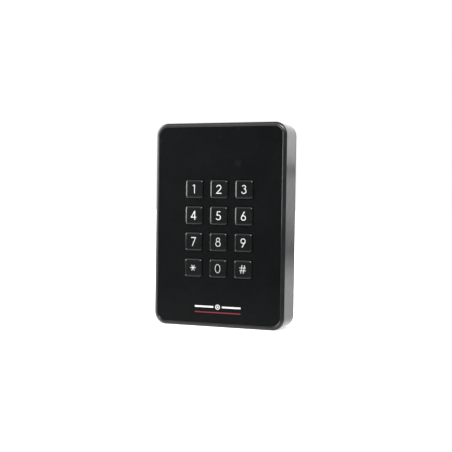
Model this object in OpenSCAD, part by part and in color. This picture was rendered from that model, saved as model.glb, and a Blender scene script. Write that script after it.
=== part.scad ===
// Wall-mounted keypad access reader, in millimetres.
// +Z is up, the wall is the plane y = 0 and the keys face -Y. Each piece is drawn lying on the
// wall plane, with x to the right, y up the wall and z out of it, and upright() stands it up.

/* [Body] */
// Width of the housing
body_w = 81; // [76:1:100]
// Height of the housing
body_h = 120; // [114:1:150]
// Distance from the wall to the front of the rim
body_d = 21; // [20:0.5:27]
// Radius of the housing's four corners, seen from the front
corner_r = 7.2; // [5:0.1:10]
// Thickness of the housing's side walls
wall = 2.2; // [2:0.1:2.6]
// Width of the rim around the front panel
rim_w = 2.4; // [2.2:0.1:3.2]
// How far the rounded rim falls off towards its outer edge
rim_fall = 1.2; // [0.8:0.1:1.6]

/* [Front panel] */
// Thickness of the glossy panel
panel_t = 1.6; // [1.2:0.1:2]
// How far the panel lies below the front of the rim
panel_recess = 0.4; // [0.2:0.1:0.8]
// Thickness of the housing's wall behind the panel
face_t = 2; // [1.6:0.1:2.4]
// Diameter of the status window
window_d = 4; // [3:0.5:5]
// Distance of the status window to the right of the middle
window_x = 11.3; // [-20:0.1:20]
// Height of the status window above the middle
window_y = 36.3; // [34:0.1:42]

/* [Keys] */
// Distance between neighbouring keys, both ways
key_pitch = 15.5; // [14.5:0.5:18]
// Width and height of a key
key_size = 10.6; // [9:0.1:11]
// Radius of a key's corners, seen from the front
key_corner = 1.3; // [1.1:0.1:2]
// Width of the bevel around a key's face, seen from the front
key_bevel_w = 0.8; // [0.4:0.1:1]
// Depth of that bevel
key_bevel_d = 0.46; // [0.4:0.02:0.9]
// How far a key stands out of the panel
key_proud = 0.9; // [0.5:0.1:1.5]
// Gap between a key and the panel all round
key_gap = 0.4; // [0.3:0.05:0.8]
// Height of the middle of the keypad, from the middle of the housing
pad_y = -2.25; // [-5:0.25:0]
// Height of the digits
digit_h = 5.2; // [4:0.1:5.6]
// Width of the strokes in the digits
stroke = 0.5; // [0.4:0.01:0.8]

/* [Wall plate] */
// Distance between the two screws of a single-gang box, one above the other
gang_pitch = 83.3; // [80:0.1:86]
// Distance between the two screws of a round box, side by side
box_pitch = 60; // [56:0.5:62]
// Diameter of the four wall screw holes
wall_hole_d = 4.5; // [4:0.1:5]
// Diameter of the cable that the grommet takes
cable_d = 8; // [5:0.5:10]
// Height of the cable opening above the middle
cable_y = -14; // [-18:1:-13]

/* [Hidden] */
$fn = 48;
eps = 0.01;

// Heights above the wall, from the back to the front
flange_t = 1.2;                              // rim of the wall plate
shell_z = flange_t + 0.2;                    // rear edge of the housing
plate_t = 2.4;                               // middle of the wall plate
board_z = 10;                                // back of the circuit board
board_t = 1.6;
board_top = board_z + board_t;
mat_t = 1;                                   // sheet of the keypad mat
dome_top = board_top + 3.4;
panel_top = body_d - panel_recess;
panel_z = panel_top - panel_t;
tape_t = 0.2;
face_top = panel_z - tape_t;                 // housing wall behind the panel
face_z = face_top - face_t;
key_top = panel_top + key_proud;
skirt_top = face_z - 0.15;                   // flange that keeps a key in
skirt_t = 0.9;
legend_t = 0.4;

// Outlines
cavity_w = body_w - 2 * wall;
cavity_h = body_h - 2 * wall;
cavity_r = corner_r - wall;
step_w = 1.1;                                // outer half of the housing's rear edge
recess_w = body_w - 2 * rim_w;
recess_h = body_h - 2 * rim_w;
recess_r = corner_r - rim_w;
lip_w = 0.45;                                // bevel on the inside of the rim
panel_gap = 0.1;
board_w = body_w - 12;
board_h = body_h - 12;
post_x = board_w / 2 - 4;
post_y = board_h / 2 - 4;
post_d = 6;
coil_w = 2.2;
opening = key_size + 2 * key_gap;            // key opening in the panel
opening_bevel = 0.15;
hook_x = 22;
security_z = 6;                              // height of the security screw above the wall
screw_seat = body_h / 2 - 1.5;               // face that the security screw's head rests on
boss_foot = body_h / 2 - wall - 0.5;         // lower face of the plate's screw boss

KEY_NAMES = ["1", "2", "3", "4", "5", "6", "7", "8", "9", "star", "0", "hash"];
POSTS = [for (x = [-1, 1], y = [-1, 0, 1]) [x * post_x, y * post_y]];
BACKLIGHTS = [for (x = [-0.5, 0.5], y = [-1, 0, 1, 2]) [x * key_pitch, pad_y + y * key_pitch]];
WALL_HOLES = [[0, gang_pitch / 2], [0, -gang_pitch / 2], [box_pitch / 2, 0], [-box_pitch / 2, 0]];
TERMINALS = 8;
terminal_pitch = 3.5;
terminal_y = 22;
terminal_h = 7;

// ---- Shared shapes ----

module upright() {
  rotate([90, 0, 0]) children();
}

// Rectangle with round corners, centred
module plan(w, h, r) {
  square([w - 2 * r, h], center = true);
  square([w, h - 2 * r], center = true);
  for (x = [-1, 1], y = [-1, 1]) translate([x * (w / 2 - r), y * (h / 2 - r)]) circle(r);
}

// Flat slab with a rounded outline, from z0 to z1
module slab(w, h, r, z0, z1) {
  translate([0, 0, z0]) linear_extrude(z1 - z0) plan(w, h, r);
}

// Block with a rounded outline and a shaped edge. The child is the edge in section: x runs from
// the corner's centre to the outer wall, and y is the height, from z0 to z1 at the centre.
module edged_block(w, h, r, z0, z1) {
  cx = w / 2 - r;
  cy = h / 2 - r;
  rotate([90, 0, 90]) translate([0, 0, -cx]) linear_extrude(2 * cx) {
    translate([-cy, z0]) square([2 * cy, z1 - z0]);
    for (m = [0, 1]) mirror([m, 0]) translate([cy, 0]) children();
  }
  for (m = [0, 1]) mirror([m, 0, 0]) {
    translate([cx, cy, 0]) rotate([90, 0, 0]) linear_extrude(2 * cy) children();
    for (n = [0, 1]) mirror([0, n, 0]) translate([cx, cy, 0]) rotate_extrude(angle = 90) children();
  }
}

// Section of an edge whose outer wall is at x = r and whose upper corner is bevelled, w by d
module bevelled_edge(r, z0, z1, w, d) {
  polygon([[0, z0], [r, z0], [r, z1 - d], [r - w, z1], [0, z1]]);
}

// The same with an arc that starts level, w inside the outer wall, and falls d before it meets it
module arched_edge(r, z0, z1, w, d) {
  arch_r = (w * w + d * d) / (2 * d);
  difference() {
    translate([0, z0]) square([r, z1 - z0]);
    difference() {
      translate([r - w, z1 - d]) square([w + 1, d + 1]);
      translate([r - w, z1 - arch_r]) circle(arch_r);
    }
  }
}

// Section of a hole's edge at x = r that widens by w between the heights z1 and z2
module flared_edge(r, z0, z1, z2, w) {
  polygon([[0, z0], [r, z0], [r, z1], [r + w, z2], [r + w, z2 + 1], [0, z2 + 1]]);
}

function key_x(i) = (i % 3 - 1) * key_pitch;
function key_y(i) = pad_y + (1.5 - floor(i / 3)) * key_pitch;

module at_keys() {
  for (i = [0:11]) translate([key_x(i), key_y(i), 0]) children();
}

// Box on the back of the circuit board, h tall, centred at x, y
module on_back(x, y, w, l, h) {
  translate([x - w / 2, y - l / 2, board_z - h]) cube([w, l, h]);
}

// Gull-wing leads along both long sides of a chip of length l, as the chip lies along x
module leads(n, pitch, body_l, reach) {
  for (i = [0:n - 1], s = [-1, 1]) translate([(i - (n - 1) / 2) * pitch - 0.15, 0, 0]) {
    translate([0, s > 0 ? body_l / 2 - 0.2 : -body_l / 2 - reach + 0.5, board_z - 0.8])
      cube([0.3, reach - 0.3, 0.15]);
    translate([0, s > 0 ? body_l / 2 + reach - 0.65 : -body_l / 2 - reach + 0.5, board_z - 0.8])
      cube([0.3, 0.15, 0.8]);
    translate([0, s > 0 ? body_l / 2 + reach - 0.65 : -body_l / 2 - reach, board_z - 0.15])
      cube([0.3, 0.65, 0.15]);
  }
}

// ---- Legends, flat and centred on their key ----

// Straight stroke between two points
module bar(p, q, s = stroke) {
  d = q - p;
  translate(p) rotate(atan2(d[1], d[0])) translate([0, -s / 2]) square([norm(d), s]);
}

// Ring with centre-line radius r
module ring(r, s = stroke) {
  difference() {
    circle(r + s / 2);
    circle(r - s / 2);
  }
}

// Part of a ring, from angle a to angle b, in two wedges of less than 180 degrees
module arc(r, a, b, s = stroke) {
  m = (a + b) / 2;
  intersection() {
    ring(r, s);
    polygon([[0, 0], for (t = [a, (a + m) / 2, m, (b + m) / 2, b]) 3 * r * [cos(t), sin(t)]]);
  }
}

// Keeps a shape within the height of the digits
module clip() {
  intersection() {
    translate([-3, -digit_h / 2]) square([6, digit_h]);
    children();
  }
}

module digit_0() {
  w = 3.3;
  t = stroke * 0.6;
  difference() {
    polygon([for (a = [0:10:350]) [w / 2 * cos(a), digit_h / 2 * sin(a)]]);
    polygon([for (a = [0:10:350]) [(w / 2 - t) * cos(a), (digit_h / 2 - t) * sin(a)]]);
  }
}

module digit_1() {
  top = digit_h / 2;
  translate([0, -top]) square([stroke * 0.85, digit_h]);
  polygon([[0, top], [-0.85, top - 0.3], [-0.85, top - 0.8], [0, top - 0.5]]);
}

module digit_2() {
  top = digit_h / 2;
  r = 1.32;
  translate([0, top - r - stroke / 2]) arc(r, -38, 172);
  clip() bar([r * cos(38) + 0.02, top - r - stroke / 2 - r * sin(38)], [-1.65, -top - 0.1]);
  translate([-1.5, -top]) square([3.2, stroke]);
}

module digit_3() {
  top = digit_h / 2;
  r = (digit_h - stroke) * 0.215;
  q = (digit_h - stroke) / 2 - r;
  translate([0, top - stroke / 2 - r]) arc(r, -90, 165);
  translate([0, -top + stroke / 2 + q]) arc(q, -165, 90);
}

module digit_4() {
  top = digit_h / 2;
  foot = -top + 1.2;
  translate([0.35, -top]) square([stroke, digit_h]);
  translate([-1.85, foot]) square([3.45, stroke]);
  clip() bar([-1.66, foot + 0.15], [0.75, top + 0.1]);
}

module digit_5() {
  top = digit_h / 2;
  r = 1.38;
  translate([-0.9, top - stroke]) square([2.2, stroke]);
  bar([-0.62, top - 0.15], [-0.95, 0.2]);
  translate([-0.05, -top + stroke / 2 + r]) arc(r, -160, 128);
}

module digit_6() {
  top = digit_h / 2;
  r = 1.3;
  lift = -top + r + stroke / 2;
  translate([0, lift]) ring(r);
  clip() bar([r * cos(152), lift + r * sin(152)], [r * cos(152) + 1.95, lift + r * sin(152) + 3.5]);
}

module digit_7() {
  top = digit_h / 2;
  translate([-1.5, top - stroke]) square([3, stroke]);
  clip() bar([1.22, top - 0.3], [-0.75, -top - 0.2], stroke * 0.85);
}

module digit_8() {
  top = digit_h / 2;
  t = stroke * 0.68;
  r = (digit_h - t) * 0.215;
  q = (digit_h - t) / 2 - r;
  translate([0, top - t / 2 - r]) ring(r, t);
  translate([0, -top + t / 2 + q]) ring(q, t);
}

module digit_9() {
  rotate(180) digit_6();
}

module star() {
  for (a = [0, 60, 120]) rotate(a) square([3.7, 0.34], center = true);
}

module hash() {
  for (x = [-0.8, 0.8]) bar([x - 0.4, -2.3], [x + 0.4, 2.6], 0.34);
  for (y = [-0.65, 0.95]) translate([-1.9, y - 0.17]) square([3.8, 0.34]);
}

module legend(i) {
  if (i == 0) digit_1();
  if (i == 1) digit_2();
  if (i == 2) digit_3();
  if (i == 3) digit_4();
  if (i == 4) digit_5();
  if (i == 5) digit_6();
  if (i == 6) digit_7();
  if (i == 7) digit_8();
  if (i == 8) digit_9();
  if (i == 9) star();
  if (i == 10) digit_0();
  if (i == 11) hash();
}

// ---- Housing and front ----

module front_housing() {
  hole = key_size + key_gap;
  color([0.07, 0.07, 0.075]) upright() {
    difference() {
      edged_block(body_w, body_h, corner_r, shell_z, body_d)
        arched_edge(corner_r, shell_z, body_d, rim_w - lip_w - 0.05, rim_fall);
      slab(cavity_w, cavity_h, cavity_r, 0, face_z);
      slab(body_w - 2 * step_w, body_h - 2 * step_w, corner_r - step_w, 0, plate_t);
      edged_block(recess_w, recess_h, recess_r, face_top, body_d + 1)
        flared_edge(recess_r, face_top, panel_top, body_d, lip_w);
      at_keys() slab(hole, hole, key_corner + key_gap / 2, face_z - 1, face_top + 1);
      translate([window_x, window_y, face_z - 1]) cylinder(d = window_d + 0.1, h = face_t + 2);
      for (s = [-1, 1]) translate([s * hook_x - 4.6, cavity_h / 2 - 1, 5.6]) cube([9.2, 2.3, 2.2]);
      translate([0, -body_h / 2 - 1, security_z]) rotate([-90, 0, 0]) {
        cylinder(d = 6, h = body_h / 2 + 1 - screw_seat);
        cylinder(d = 3.4, h = wall + 2);
      }
    }
    for (p = POSTS) translate([p[0], p[1], board_top]) difference() {
      cylinder(d = post_d, h = face_z - board_top);
      translate([0, 0, -1]) cylinder(d = 2.3, h = 5);
    }
  }
}

module front_panel() {
  w = recess_w - 2 * panel_gap;
  h = recess_h - 2 * panel_gap;
  r = recess_r - panel_gap;
  q = key_corner + key_gap;
  color([0.02, 0.02, 0.022]) upright() difference() {
    edged_block(w, h, r, panel_z, panel_top) bevelled_edge(r, panel_z, panel_top, 0.2, 0.2);
    at_keys() edged_block(opening, opening, q, panel_z - 1, panel_top + 1)
      flared_edge(q, panel_z - 1, panel_top - opening_bevel, panel_top, opening_bevel);
    translate([window_x, window_y, panel_z - 1]) cylinder(d = window_d + 0.1, h = panel_t + 2);
    translate([0, 0, panel_top - 0.2]) linear_extrude(1) {
      mark_shape();
      line_shape();
    }
  }
}

module panel_tape() {
  color([0.75, 0.74, 0.7]) upright() difference() {
    slab(recess_w - 3, recess_h - 3, recess_r - 1.5, face_top, panel_z);
    at_keys() slab(opening + 1.6, opening + 1.6, key_corner, face_top - 1, panel_z + 1);
    translate([window_x, window_y, face_top - 1]) cylinder(d = window_d + 2, h = tape_t + 2);
  }
}

module status_light_guide() {
  color([0.1, 0.1, 0.11, 0.8]) upright() translate([window_x, window_y, 0]) {
    translate([0, 0, face_z - eps]) cylinder(d = window_d, h = panel_top - face_z + eps);
    translate([0, 0, face_z - 0.8]) cylinder(d = window_d + 2.4, h = 0.8);
    translate([0, 0, board_top + 1.8]) cylinder(d = window_d - 0.6, h = face_z - 0.8 - board_top - 1.8);
  }
}

// Plain ring and dot between two bars
module mark_shape() {
  translate([0, -48.2]) {
    ring(1.25, 0.5);
    circle(0.5);
    for (s = [-1, 1]) translate([s * 8.5, 0]) square([11.6, 1], center = true);
  }
}

module line_shape() {
  translate([0, -51.5]) square([28.6, 0.7], center = true);
}

module front_mark() {
  color("white") upright() translate([0, 0, panel_top - 0.2]) linear_extrude(0.2) mark_shape();
}

module front_line() {
  color([0.75, 0.05, 0.08]) upright() translate([0, 0, panel_top - 0.2]) linear_extrude(0.2) line_shape();
}

// ---- Keys ----

module key_cap(i) {
  hollow = key_size - 2.4;
  roof = key_top - 1.6;
  color([0.06, 0.06, 0.065]) upright() translate([key_x(i), key_y(i), 0]) {
    difference() {
      union() {
        edged_block(key_size, key_size, key_corner, skirt_top - skirt_t, key_top)
          bevelled_edge(key_corner, skirt_top - skirt_t, key_top, key_bevel_w, key_bevel_d);
        slab(key_size + 2.6, key_size + 2.6, 1, skirt_top - skirt_t, skirt_top);
      }
      translate([-hollow / 2, -hollow / 2, dome_top]) cube([hollow, hollow, roof - dome_top]);
      translate([0, 0, key_top - legend_t]) linear_extrude(1) legend(i);
    }
    translate([0, 0, dome_top]) cylinder(d = 4, h = roof - dome_top);
  }
}

module key_legend(i) {
  color("white") upright() translate([key_x(i), key_y(i), key_top - legend_t])
    linear_extrude(legend_t) legend(i);
}

module keypad_mat() {
  sheet_w = 2 * key_pitch + 21;
  sheet_h = 3 * key_pitch + 21;
  post_z = dome_top - 0.9;
  color([0.25, 0.25, 0.27]) upright() {
    difference() {
      union() {
        translate([0, pad_y, 0]) slab(sheet_w, sheet_h, 2, board_top, board_top + mat_t);
        at_keys() translate([0, 0, board_top + mat_t - eps])
          cylinder(d1 = 7.6, d2 = 5.2, h = dome_top - board_top - mat_t + eps);
      }
      at_keys() translate([0, 0, board_top - 1]) {
        cylinder(d = 6.2, h = 1 + mat_t);
        translate([0, 0, mat_t + 1 - eps]) cylinder(d1 = 6.2, d2 = 4.2, h = post_z - board_top - mat_t);
      }
      for (p = BACKLIGHTS) translate([p[0] - 1.6, p[1] - 1.2, board_top - 1]) cube([3.2, 2.4, 4]);
    }
    at_keys() translate([0, 0, board_top + 1.3]) cylinder(d = 3, h = post_z - board_top - 1.3 + 0.3);
  }
}

module contact_pills() {
  color([0.12, 0.12, 0.12]) upright() at_keys() translate([0, 0, board_top + 0.9])
    cylinder(d = 3, h = 0.4);
}

// ---- Circuit board and what is on it ----

module main_board() {
  color([0.05, 0.3, 0.14]) upright() difference() {
    slab(board_w, board_h, 2, board_z, board_top);
    for (p = POSTS) translate([p[0], p[1], board_z - 1]) cylinder(d = 2.9, h = board_t + 2);
  }
}

module board_screws() {
  color([0.7, 0.7, 0.72]) upright() for (p = POSTS) translate([p[0], p[1], board_z]) {
    cylinder(d = 2.2, h = board_t + 3.6);
    translate([0, 0, -1.5]) difference() {
      cylinder(d = 4.6, h = 1.5);
      for (a = [0, 90]) rotate(a) translate([-1.3, -0.3, -1]) cube([2.6, 0.6, 1.8]);
    }
  }
}

module backlight_leds() {
  color([0.95, 0.95, 0.85]) upright() for (p = BACKLIGHTS)
    translate([p[0] - 1, p[1] - 0.65, board_top]) cube([2, 1.3, 0.7]);
}

module status_led() {
  color([0.95, 0.95, 0.85]) upright() translate([window_x, window_y, board_top]) {
    translate([-1.75, -1.4, 0]) cube([3.5, 2.8, 0.9]);
    translate([0, 0, 0.9]) cylinder(d = 2.2, h = 0.3);
  }
}

module microcontroller() {
  upright() translate([21, 2, 0]) {
    color([0.08, 0.08, 0.08]) on_back(0, 0, 7, 7, 1.4);
    color("silver") for (a = [0, 90]) rotate(a) leads(10, 0.6, 7, 1.2);
  }
}

module reader_chip() {
  upright() translate([-20, -12, 0]) {
    color([0.08, 0.08, 0.08]) on_back(0, 0, 10.2, 7.5, 2.2);
    color("silver") leads(8, 1.27, 7.5, 1.4);
  }
}

module output_driver() {
  upright() translate([22, 37, 0]) {
    color([0.08, 0.08, 0.08]) on_back(0, 0, 5, 4, 1.5);
    color("silver") leads(4, 1.27, 4, 1.2);
  }
}

module crystal() {
  color([0.8, 0.8, 0.82]) upright() translate([21, 14, board_z - 3.5]) linear_extrude(3.5)
    plan(11, 4.6, 2.25);
}

module capacitors() {
  color([0.55, 0.56, 0.6]) upright() for (y = [6, 15]) translate([-24, y, board_z - 5.8]) {
    cylinder(d = 6.3, h = 5.5);
    translate([-3.3, -3.3, 5.3]) cube([6.6, 6.6, 0.5]);
  }
}

module voltage_regulator() {
  upright() translate([-22, 37, 0]) {
    color([0.1, 0.1, 0.1]) on_back(0, 0, 6.5, 3.5, 1.7);
    color("silver") {
      on_back(0, 2.6, 3, 1.7, 0.3);
      for (x = [-2.3, 0, 2.3]) on_back(x, -2.6, 0.7, 1.7, 0.3);
    }
  }
}

module buzzer() {
  color([0.1, 0.1, 0.1]) upright() translate([-21, -33, board_z - 5.6]) difference() {
    cylinder(d = 12, h = 5.6);
    translate([0, 0, -1]) cylinder(d = 2.2, h = 2.5);
  }
}

module antenna_coil() {
  w = cavity_w - 3.2;
  h = cavity_h - 3.2;
  r = cavity_r - 1;
  color([0.72, 0.4, 0.2]) upright() difference() {
    slab(w, h, r, face_z - 2, face_z);
    slab(w - 2 * coil_w, h - 2 * coil_w, r - 1.5, face_z - 3, face_z + 1);
  }
}

module antenna_leads() {
  coil_y = -cavity_h / 2 + 1.6 + coil_w / 2;
  pad = -board_h / 2 + 2.5;
  color([0.72, 0.4, 0.2]) upright() for (x = [-2, 2]) translate([x, 0, 0]) {
    translate([0, coil_y, board_top + 1.2]) cylinder(d = 0.6, h = face_z - 2 - board_top - 1.2);
    translate([0, coil_y, board_top + 1.2]) sphere(d = 0.6);
    translate([0, coil_y, board_top + 1.2]) rotate([-90, 0, 0]) cylinder(d = 0.6, h = pad - coil_y);
    translate([0, pad, board_top + 1.2]) sphere(d = 0.6);
    translate([0, pad, board_top]) cylinder(d = 0.6, h = 1.2);
  }
}

module terminal_block() {
  w = TERMINALS * terminal_pitch + 0.4;
  color([0.1, 0.35, 0.2]) upright() translate([0, terminal_y, 0]) difference() {
    on_back(0, 0, w, 8, terminal_h);
    for (i = [0:TERMINALS - 1]) translate([(i - (TERMINALS - 1) / 2) * terminal_pitch, 0, board_z]) {
      translate([-1.25, -5, -4.2]) cube([2.5, 4.5, 2.6]);
      translate([0, 1.4, -terminal_h - 1]) cylinder(d = 2.7, h = 4.6);
    }
  }
}

module terminal_screws() {
  color([0.75, 0.75, 0.77]) upright() translate([0, terminal_y + 1.4, board_z - terminal_h + 1.6])
    for (i = [0:TERMINALS - 1]) translate([(i - (TERMINALS - 1) / 2) * terminal_pitch, 0, 0])
      difference() {
        cylinder(d = 2.5, h = 2);
        translate([-0.9, -0.25, -1]) cube([1.8, 0.5, 1.6]);
      }
}

module tamper_sensor() {
  color([0.12, 0.12, 0.13]) upright() translate([21, -30, 0]) difference() {
    on_back(0, 0, 5.2, 3.6, 2.4);
    for (x = [-1.2, 1.2]) translate([x, 0, board_z - 3]) cylinder(d = 1.5, h = 1.2);
  }
}

// ---- Wall side ----

module wall_plate() {
  w = cavity_w - 0.6;
  h = cavity_h - 0.6;
  r = cavity_r - 0.3;
  color([0.09, 0.09, 0.095]) upright() difference() {
    union() {
      slab(body_w, body_h, corner_r, 0, flange_t);
      slab(w, h, r, flange_t - eps, plate_t);
      difference() {
        slab(w, h, r, plate_t - eps, plate_t + 1.8);
        slab(w - 3, h - 3, r - 1.5, plate_t - 1, plate_t + 3);
      }
      for (s = [-1, 1]) translate([s * hook_x - 4, h / 2 - 1.6, plate_t - eps]) {
        cube([8, 1.6, 5]);
        translate([0, 0, 3.6]) cube([8, 2.8, 1.4]);
      }
      translate([-6, -boss_foot, plate_t - eps]) cube([12, 7.5, 6.9]);
    }
    for (p = WALL_HOLES) translate([p[0], p[1], 0]) {
      translate([0, 0, -1]) cylinder(d = wall_hole_d, h = plate_t + 2);
      translate([0, 0, plate_t - 0.7]) cylinder(d = wall_hole_d * 2, h = 2);
    }
    translate([0, cable_y, 0]) {
      translate([0, 0, -1]) cylinder(d = cable_d * 2, h = plate_t + 2);
      translate([0, 0, -1]) cylinder(d = cable_d * 2 + 4, h = 1.8);
    }
    translate([17, -34, -1]) cube([8, 8, plate_t + 2]);
    translate([0, -boss_foot - 1, security_z]) rotate([-90, 0, 0]) cylinder(d = 4.6, h = 6.6);
    translate([0, -boss_foot - 1, security_z]) rotate([-90, 0, 0]) cylinder(d = 3.3, h = 10);
  }
}

module rear_gasket() {
  color([0.15, 0.15, 0.16]) upright() difference() {
    slab(body_w - 2 * step_w - 0.2, body_h - 2 * step_w - 0.2, corner_r - step_w - 0.1, flange_t, plate_t);
    slab(cavity_w + 0.2, cavity_h + 0.2, cavity_r + 0.1, 0, plate_t + 1);
  }
}

module cable_grommet() {
  d = cable_d * 2;
  color([0.1, 0.1, 0.1]) upright() translate([0, cable_y, 0]) difference() {
    union() {
      translate([0, 0, 0.05]) cylinder(d = d + 3.8, h = 0.75);
      cylinder(d = d, h = plate_t + 1.2);
      translate([0, 0, plate_t]) cylinder(d = d + 4, h = 1.2);
    }
    translate([0, 0, -1]) cylinder(d = cable_d, h = plate_t + 4);
    translate([0, 0, -eps]) difference() {
      cylinder(d = d + 4, h = 0.05 + eps);
      cylinder(d = cable_d - 1, h = 1);
    }
  }
}

module threaded_insert() {
  color([0.78, 0.6, 0.25]) upright() translate([0, -boss_foot, security_z]) rotate([-90, 0, 0])
    difference() {
      cylinder(d = 4.6, h = 5.6);
      translate([0, 0, -1]) cylinder(d = 3.1, h = 8);
    }
}

module security_screw() {
  color([0.3, 0.3, 0.32]) upright() translate([0, -screw_seat, security_z]) rotate([-90, 0, 0]) {
    cylinder(d = 3, h = 8);
    translate([0, 0, -1.4]) difference() {
      cylinder(d = 5.6, h = 1.4);
      translate([0, 0, -1]) difference() {
        cylinder(d = 2.6, h = 1.9, $fn = 6);
        cylinder(d = 0.8, h = 3);
      }
    }
  }
}

// ---- Which node is drawn ----

for (i = [0:11]) {
  key_cap(i);
  key_legend(i);
}
front_housing();
front_panel();
panel_tape();
status_light_guide();
front_mark();
front_line();
keypad_mat();
contact_pills();
main_board();
board_screws();
backlight_leds();
status_led();
microcontroller();
reader_chip();
output_driver();
crystal();
capacitors();
voltage_regulator();
buzzer();
antenna_coil();
antenna_leads();
terminal_block();
terminal_screws();
tamper_sensor();
wall_plate();
rear_gasket();
cable_grommet();
threaded_insert();
security_screw();
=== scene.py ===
"""Keypad access reader: looks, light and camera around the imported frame.

Row frame, in metres: +Z up, the wall at y = 0, the keys face -Y. The script draws the camera, the
light and the floor, gives every CAD node its material and rounds the sharp moulded edges.
"""

from math import cos, radians, sin

import bpy
from mathutils import Matrix, Vector


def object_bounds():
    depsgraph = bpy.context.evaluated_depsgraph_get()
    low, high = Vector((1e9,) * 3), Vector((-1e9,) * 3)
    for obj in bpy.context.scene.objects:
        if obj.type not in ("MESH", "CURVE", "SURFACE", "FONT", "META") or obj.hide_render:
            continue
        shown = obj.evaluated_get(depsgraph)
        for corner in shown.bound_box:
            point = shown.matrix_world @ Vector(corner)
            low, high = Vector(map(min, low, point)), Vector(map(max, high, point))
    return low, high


MM = 0.001

# ---- Camera: a 69 mm lens, to the right of the reader and just above its middle ----
CAM_LENS = 69.28
CAM_SENSOR = 36.0
CAM_DISTANCE = 0.5291
CAM_YAW = 19.98
CAM_PITCH = 1.24
CAM_ROLL = 0.87
CAM_ASIDE = -0.00278
CAM_LIFT = -0.00087

# ---- Light ----
BACKDROP = 1.0
FLOOR_GLOW = 0.55
# Brightness of what the reader reflects, as seen from it
FRONT_GLOW = (0.13, 0.01)      # camera side, from its left to its right
LEFT_GLOW = 4.0
RIGHT_GLOW = 0.05
SKY_GLOW = 1.85
OVERHEAD_GLOW = 0.5
GROUND_GLOW = 1.2
BEHIND_GLOW = 0.95
# Softboxes: place, target, width and height in metres, and power in watts
SOFTBOXES = {
    "left_strip": ((-0.55, -0.11, 0.108), (0, -0.11, 0.108), 0.10, 0.24, 0.62),
    "top_right": ((0.17, -0.40, 0.36), (0, 0, 0), 0.26, 0.14, 1.8),
}
# White card behind the right-hand side: (height in mm, brightness)
CARD_GLOW = ((-100, 1.5), (-66, 1.1), (-38, 1.08), (-19, 0.36), (8, 0.80), (28, 0.92), (37, 0.52), (43, 1.15),
             (54, 1.5), (100, 1.4))

CARD_SIZE = 0.22
CARD_PLACE = (0.06, 0.07, 0)
FLOOR_SIZE = 40

# ---- Moulded radii on edges that the CAD leaves sharp, in mm ----
EDGE_RADII = {"front_panel": 0.12, "wall_plate": 0.2}
KEY_EDGE_RADIUS = 0.15
SHARP = radians(50)

KEYS = ["1", "2", "3", "4", "5", "6", "7", "8", "9", "star", "0", "hash"]


def make_camera():
    yaw, pitch, roll = (radians(a) for a in (CAM_YAW, CAM_PITCH, CAM_ROLL))
    back = Vector((sin(yaw) * cos(pitch), -cos(yaw) * cos(pitch), sin(pitch)))
    level = Vector((cos(yaw), sin(yaw), 0))
    rise = back.cross(level)
    right = level * cos(roll) + rise * sin(roll)
    up = rise * cos(roll) - level * sin(roll)
    spin = Matrix((right, up, back)).transposed().to_4x4()
    data = bpy.data.cameras.new("camera")
    data.lens = CAM_LENS
    data.sensor_width = CAM_SENSOR
    data.clip_start = 0.01
    camera = bpy.data.objects.new("camera", data)
    place = back * CAM_DISTANCE + level * CAM_ASIDE + rise * CAM_LIFT
    camera.matrix_world = Matrix.Translation(place) @ spin
    bpy.context.scene.collection.objects.link(camera)
    bpy.context.scene.camera = camera


# ---- Node helpers ----

def add(tree, kind, **inputs):
    """A new node; each keyword sets the input socket of that name, from a value or a socket."""
    node = tree.nodes.new(kind)
    for name, value in inputs.items():
        socket = node.inputs[name.replace("_", " ")]
        if isinstance(value, bpy.types.NodeSocket):
            tree.links.new(value, socket)
        else:
            socket.default_value = value
    return node


def rgba(colour):
    return (*colour, 1.0)


def times(colour, k):
    return tuple(min(1.0, c * k) for c in colour)


def place_of(tree):
    return tree.nodes.new("ShaderNodeTexCoord").outputs["Object"]


def noise(tree, size, detail=3.0, stretch=(1, 1, 1)):
    """Noise from 0 to 1 whose lumps are about `size` metres across."""
    where = add(tree, "ShaderNodeMapping", Vector=place_of(tree), Scale=stretch).outputs[0]
    cloud = add(tree, "ShaderNodeTexNoise", Vector=where, Scale=1.0 / size, Detail=detail)
    return cloud.outputs[0]


def remap(tree, value, low, high, start=0.35, end=0.65):
    made = add(tree, "ShaderNodeMapRange", Value=value, From_Min=start, From_Max=end, To_Min=low, To_Max=high)
    return made.outputs[0]


def blend_colour(tree, factor, a, b):
    mix = tree.nodes.new("ShaderNodeMix")
    mix.data_type = "RGBA"
    for socket, value in ((mix.inputs["Factor"], factor), (mix.inputs[6], a), (mix.inputs[7], b)):
        if isinstance(value, bpy.types.NodeSocket):
            tree.links.new(value, socket)
        else:
            socket.default_value = value
    return mix.outputs[2]


def maths(tree, operation, a, b=0.0):
    node = tree.nodes.new("ShaderNodeMath")
    node.operation = operation
    for socket, value in zip(node.inputs, (a, b)):
        if isinstance(value, bpy.types.NodeSocket):
            tree.links.new(value, socket)
        else:
            socket.default_value = value
    return node.outputs[0]


def bump(tree, height, depth, below=None):
    """A bump `depth` metres deep; `below` is a normal that it goes on top of."""
    node = add(tree, "ShaderNodeBump", Height=height, Distance=depth, Strength=1.0)
    if below is not None:
        tree.links.new(below, node.inputs["Normal"])
    return node.outputs[0]


def edge_mask(tree, radius):
    """1 along the sharp edges, 0 elsewhere."""
    soft = add(tree, "ShaderNodeBevel", Radius=radius)
    soft.samples = 4
    flat = tree.nodes.new("ShaderNodeNewGeometry")
    dot = tree.nodes.new("ShaderNodeVectorMath")
    dot.operation = "DOT_PRODUCT"
    tree.links.new(soft.outputs[0], dot.inputs[0])
    tree.links.new(flat.outputs["Normal"], dot.inputs[1])
    return remap(tree, dot.outputs["Value"], 1.0, 0.0, 0.80, 0.99)


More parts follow.
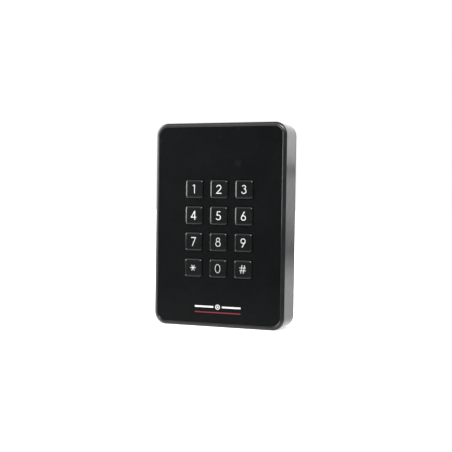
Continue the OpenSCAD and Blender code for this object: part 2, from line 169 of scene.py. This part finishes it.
def specks(tree, spacing, radius):
    """Sparse round specks: 1 inside a speck, 0 elsewhere."""
    cells = add(tree, "ShaderNodeTexVoronoi", Vector=place_of(tree), Scale=1.0 / spacing)
    near = remap(tree, cells.outputs["Distance"], 1.0, 0.0, 0.4 * radius / spacing, radius / spacing)
    chosen = remap(tree, noise(tree, spacing * 3), 0.0, 1.0, 0.60, 0.63)
    return maths(tree, "MULTIPLY", near, chosen)


def shader(name, **constants):
    material = bpy.data.materials.new(name)
    material.use_nodes = True
    tree = material.node_tree
    bsdf = tree.nodes["Principled BSDF"]
    for socket, value in constants.items():
        bsdf.inputs[socket.replace("_", " ")].default_value = value
    return material, tree, bsdf


def finish_with(tree, bsdf, colour, rough, normal=None):
    tree.links.new(colour, bsdf.inputs["Base Color"])
    tree.links.new(rough, bsdf.inputs["Roughness"])
    if normal is not None:
        tree.links.new(normal, bsdf.inputs["Normal"])


# ---- Materials ----

def moulded(name, colour, rough, grain=0.25 * MM, depth=0.004 * MM, wear=1.6, spread=0.05, **constants):
    """Moulded plastic: soft blotches, a fine eroded grain, and edges polished lighter by handling."""
    material, tree, bsdf = shader(name, IOR=1.5, **constants)
    cloud = noise(tree, 14 * MM, 5)
    base = blend_colour(tree, remap(tree, cloud, 0, 1), rgba(times(colour, 0.86)), rgba(times(colour, 1.14)))
    worn = maths(tree, "MULTIPLY", edge_mask(tree, 0.25 * MM), remap(tree, noise(tree, 4 * MM, 4), 0.2, 1.0))
    base = blend_colour(tree, worn, base, rgba(times(colour, wear)))
    roughness = remap(tree, noise(tree, 5 * MM, 4), rough - spread, rough + spread)
    normal = bump(tree, noise(tree, grain, 2), depth)
    finish_with(tree, bsdf, base, roughness, normal)
    return material


def gloss_panel():
    """Polished black sheet: faint haze, slow waviness, a few specks of dust and a painted highlight along its
    sharp edges.
    """
    colour = (0.0042, 0.0047, 0.0049)
    material, tree, bsdf = shader("gloss_panel", IOR=1.49)
    haze = noise(tree, 20 * MM, 5)
    base = blend_colour(tree, remap(tree, haze, 0, 1), rgba(times(colour, 0.9)), rgba(times(colour, 1.1)))
    dust = specks(tree, 4 * MM, 0.22 * MM)
    base = blend_colour(tree, dust, base, rgba((0.22, 0.22, 0.215)))
    # Painted highlight: along the sharp edges of the sheet and its key openings the black is mixed half-way
    # towards three times its colour
    edge = edge_mask(tree, 0.15 * MM)
    base = blend_colour(tree, maths(tree, "MULTIPLY", edge, 0.5), base, rgba(times(colour, 3.0)))
    smear = noise(tree, 9 * MM, 5, (1, 1, 0.35))
    roughness = maths(tree, "ADD", remap(tree, smear, 0.045, 0.085), maths(tree, "MULTIPLY", dust, 0.5))
    normal = bump(tree, noise(tree, 6 * MM, 1), 0.003 * MM)
    finish_with(tree, bsdf, base, roughness, normal)
    return material


def printed(name, colour):
    """Screen-printed ink: slightly uneven cover and a soft sheen."""
    material, tree, bsdf = shader(name, IOR=1.5)
    cover = noise(tree, 0.5 * MM, 4)
    base = blend_colour(tree, remap(tree, cover, 0, 1), rgba(times(colour, 0.88)), rgba(colour))
    roughness = remap(tree, noise(tree, 0.3 * MM, 2), 0.35, 0.5)
    finish_with(tree, bsdf, base, roughness, bump(tree, cover, 0.004 * MM))
    return material


def smoked_window():
    material, tree, bsdf = shader("smoked_window", IOR=1.5)
    streak = noise(tree, 1.5 * MM, 3)
    dark, light = rgba((0.0068, 0.0068, 0.0076)), rgba((0.009, 0.009, 0.010))
    base = blend_colour(tree, remap(tree, streak, 0, 1), dark, light)
    finish_with(tree, bsdf, base, remap(tree, streak, 0.06, 0.12), bump(tree, streak, 0.0006 * MM))
    return material


def metal(name, colour, rough, streaks=(1, 1, 1)):
    """Plated or machined metal with fine tool marks and darker patches of handling."""
    material, tree, bsdf = shader(name, Metallic=1.0)
    patch = noise(tree, 3 * MM, 4)
    base = blend_colour(tree, remap(tree, patch, 0, 1), rgba(times(colour, 0.8)), rgba(colour))
    marks = noise(tree, 0.3 * MM, 3, streaks)
    roughness = remap(tree, marks, rough - 0.08, rough + 0.08)
    finish_with(tree, bsdf, base, roughness, bump(tree, marks, 0.004 * MM))
    return material


def circuit_board():
    """Green solder mask over a faint pattern of copper tracks."""
    material, tree, bsdf = shader("circuit_board", IOR=1.5)
    tracks = add(tree, "ShaderNodeTexBrick", Vector=place_of(tree), Scale=250.0, Mortar_Size=0.03)
    for mask in ("Color1", "Color2"):
        tracks.inputs[mask].default_value = rgba((0.010, 0.085, 0.035))
    tracks.inputs["Mortar"].default_value = rgba((0.03, 0.17, 0.06))
    cloud = remap(tree, noise(tree, 8 * MM, 4), 0.0, 0.35)
    base = blend_colour(tree, cloud, tracks.outputs["Color"], rgba((0.006, 0.05, 0.02)))
    finish_with(tree, bsdf, base, remap(tree, noise(tree, 1 * MM, 3), 0.25, 0.4),
                bump(tree, tracks.outputs["Fac"], 0.01 * MM))
    return material


def wound_copper():
    """Enamelled winding: fine parallel turns along the coil."""
    material, tree, bsdf = shader("wound_copper", Metallic=1.0)
    turns = add(tree, "ShaderNodeTexWave", Vector=place_of(tree), Scale=1500.0, Distortion=0.4)
    turns.bands_direction = "Y"
    base = blend_colour(tree, turns.outputs["Fac"], rgba((0.35, 0.12, 0.04)), rgba((0.72, 0.36, 0.16)))
    finish_with(tree, bsdf, base, remap(tree, noise(tree, 2 * MM), 0.25, 0.4),
                bump(tree, turns.outputs["Fac"], 0.03 * MM))
    return material


def dress(names, material):
    for name in names:
        slots = nodes[name].data.materials
        slots.clear()
        slots.append(material)


def dress_all():
    dress(["front_housing"], moulded("housing_plastic", (0.011, 0.011, 0.0115), 0.20, depth=0.002 * MM))
    dress(["wall_plate"], moulded("plate_plastic", (0.028, 0.028, 0.029), 0.42, depth=0.006 * MM))
    dress(["front_panel"], gloss_panel())
    dress([f"key_{k}_cap" for k in KEYS],
          moulded("key_plastic", (0.0068, 0.0072, 0.0074), 0.15, depth=0.0012 * MM, wear=1.3, spread=0.02,
                  Specular_IOR_Level=0.38))
    dress([f"key_{k}_legend" for k in KEYS],
          moulded("legend_plastic", (0.54, 0.54, 0.535), 0.4, depth=0.002 * MM, wear=1.0))
    dress(["front_mark"], printed("white_ink", (0.66, 0.66, 0.66)))
    dress(["front_line"], printed("red_ink", (0.16, 0.008, 0.012)))
    dress(["status_light_guide"], smoked_window())
    dress(["panel_tape"], moulded("foam_tape", (0.5, 0.49, 0.46), 0.8, depth=0.02 * MM))
    dress(["keypad_mat"], moulded("silicone", (0.10, 0.10, 0.11), 0.6, depth=0.006 * MM, wear=1.1))
    dress(["contact_pills"], moulded("carbon", (0.02, 0.02, 0.02), 0.7, depth=0.01 * MM))
    dress(["main_board"], circuit_board())
    dress(["board_screws", "terminal_screws", "crystal"], metal("plated_steel", (0.62, 0.62, 0.64), 0.3))
    dress(["capacitors"], metal("can_aluminium", (0.70, 0.71, 0.73), 0.35, (1, 0.1, 1)))
    dress(["threaded_insert"], metal("brass", (0.75, 0.55, 0.22), 0.3))
    dress(["security_screw"], metal("black_steel", (0.09, 0.09, 0.10), 0.35))
    dress(["antenna_coil", "antenna_leads"], wound_copper())
    dress(["backlight_leds", "status_led"], moulded("led_plastic", (0.80, 0.78, 0.62), 0.3))
    dress(["microcontroller", "reader_chip", "output_driver", "voltage_regulator", "tamper_sensor"],
          moulded("chip_plastic", (0.025, 0.025, 0.026), 0.5, depth=0.008 * MM))
    dress(["buzzer"], moulded("buzzer_plastic", (0.02, 0.02, 0.02), 0.35))
    dress(["terminal_block"], moulded("terminal_plastic", (0.02, 0.16, 0.06), 0.4))
    dress(["cable_grommet", "rear_gasket"], moulded("rubber", (0.018, 0.018, 0.018), 0.65, depth=0.01 * MM))


def round_edges():
    """A small radius on each sharp edge of the panel, the plate and the caps."""
    widths = EDGE_RADII | {f"key_{k}_cap": KEY_EDGE_RADIUS for k in KEYS}
    for name, width in widths.items():
        weld = nodes[name].modifiers.new("weld", "WELD")
        weld.merge_threshold = 0.002 * MM
        soften = nodes[name].modifiers.new("soften", "BEVEL")
        soften.width = width * MM
        soften.segments = 2
        soften.limit_method = "ANGLE"
        soften.angle_limit = SHARP
        soften.harden_normals = True


# ---- Studio ----

def make_world():
    """White behind, dim in front, as in a light tent with the camera's side open."""
    world = bpy.data.worlds.new("studio")
    bpy.context.scene.world = world
    world.use_nodes = True
    tree = world.node_tree
    way = add(tree, "ShaderNodeTexCoord").outputs["Generated"]
    parts = add(tree, "ShaderNodeSeparateXYZ", Vector=way).outputs
    x, z = parts["X"], parts["Z"]
    high = remap(tree, z, 0.0, 1.0, 0.72, 0.86)
    # Dark at the far left, which the keys' left bevels reflect below the strip's reach
    left = maths(tree, "MULTIPLY", remap(tree, x, 0.06, 1.0, -0.98, -0.93), LEFT_GLOW)
    terms = [
        remap(tree, x, *FRONT_GLOW, -0.45, -0.25),
        maths(tree, "MULTIPLY", left, remap(tree, x, 1.0, 0.0, -0.86, -0.55)),
        remap(tree, x, 0.0, RIGHT_GLOW, 0.1, 0.5),
        remap(tree, z, 0.0, SKY_GLOW, 0.2, 0.5),
        maths(tree, "MULTIPLY", high, OVERHEAD_GLOW - SKY_GLOW),
        remap(tree, z, GROUND_GLOW, 0.0, -0.5, -0.09),
    ]
    front = terms[0]
    for term in terms[1:]:
        front = maths(tree, "ADD", front, term)
    # The white reaches further round on the left than on the right
    depth = maths(tree, "ADD", parts["Y"], remap(tree, x, 0.1, -0.25, -0.6, 0.6))
    side = remap(tree, depth, 0.0, 1.0, 0.2, 0.5)
    glow = add(tree, "ShaderNodeMapRange", Value=side, To_Min=front, To_Max=BEHIND_GLOW).outputs[0]
    seen = add(tree, "ShaderNodeLightPath").outputs["Is Camera Ray"]
    level = add(tree, "ShaderNodeMapRange", Value=seen, To_Min=glow, To_Max=BACKDROP).outputs[0]
    tree.links.new(level, tree.nodes["Background"].inputs["Strength"])
    tree.nodes["Background"].inputs["Color"].default_value = rgba((1, 1, 1))


def softbox(name, place, target, width, height, power):
    data = bpy.data.lights.new(name, "AREA")
    data.shape = "RECTANGLE"
    data.size, data.size_y = width, height
    data.energy = power
    light = bpy.data.objects.new(name, data)
    aim = (Vector(target) - Vector(place)).to_track_quat("-Z", "Y").to_matrix().to_4x4()
    light.matrix_world = Matrix.Translation(place) @ aim
    light.visible_camera = False
    bpy.context.scene.collection.objects.link(light)


def make_lights():
    for name, settings in SOFTBOXES.items():
        softbox(name, *settings)


def make_card():
    """Upright card just behind the side that faces the camera, brightest at its top and foot."""
    bpy.ops.mesh.primitive_plane_add(size=CARD_SIZE, location=CARD_PLACE, rotation=(radians(90), 0, 0))
    card = bpy.context.object
    card.name = "card"
    material, tree, bsdf = shader("card_white", Roughness=0.9)
    height = add(tree, "ShaderNodeSeparateXYZ", Vector=place_of(tree)).outputs["Y"]
    low, high = CARD_GLOW[0][0], CARD_GLOW[-1][0]
    top = max(glow for _, glow in CARD_GLOW)
    ramp = add(tree, "ShaderNodeValToRGB", Fac=remap(tree, height, 0.0, 1.0, low * MM, high * MM))
    stops = ramp.color_ramp.elements
    for _ in CARD_GLOW[2:]:
        stops.new(0.5)
    for stop, (level, glow) in zip(stops, CARD_GLOW):
        stop.position = (level - low) / (high - low)
        stop.color = rgba((glow / top,) * 3)
    bsdf.inputs["Base Color"].default_value = rgba((0.02, 0.02, 0.02))
    tree.links.new(ramp.outputs["Color"], bsdf.inputs["Emission Color"])
    bsdf.inputs["Emission Strength"].default_value = top
    card.data.materials.append(material)
    card.visible_camera = card.visible_shadow = False


def make_floor():
    bpy.ops.mesh.primitive_plane_add(size=FLOOR_SIZE, location=(0, 0, CAD_BOX[0][2]))
    floor = bpy.context.object
    floor.name = "floor"
    material, tree, bsdf = shader("floor_white", Roughness=0.9)
    cloud = noise(tree, 0.4, 3)
    tree.links.new(blend_colour(tree, cloud, rgba((0.84, 0.84, 0.84)), rgba((0.88, 0.88, 0.88))),
                   bsdf.inputs["Base Color"])
    bsdf.inputs["Emission Color"].default_value = rgba((1, 1, 1))
    bsdf.inputs["Emission Strength"].default_value = FLOOR_GLOW
    floor.data.materials.append(material)
    floor.visible_glossy = False


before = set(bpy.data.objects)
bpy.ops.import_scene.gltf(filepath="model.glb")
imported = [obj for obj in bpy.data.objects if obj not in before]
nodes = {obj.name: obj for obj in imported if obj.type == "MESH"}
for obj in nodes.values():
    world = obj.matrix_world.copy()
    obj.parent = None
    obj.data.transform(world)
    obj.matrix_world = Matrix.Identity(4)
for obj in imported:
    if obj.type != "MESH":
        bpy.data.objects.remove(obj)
CAD_BOX = [list(corner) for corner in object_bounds()]
make_camera()
dress_all()
round_edges()
make_world()
make_lights()
make_card()
make_floor()
bpy.context.scene.view_settings.view_transform = "Standard"
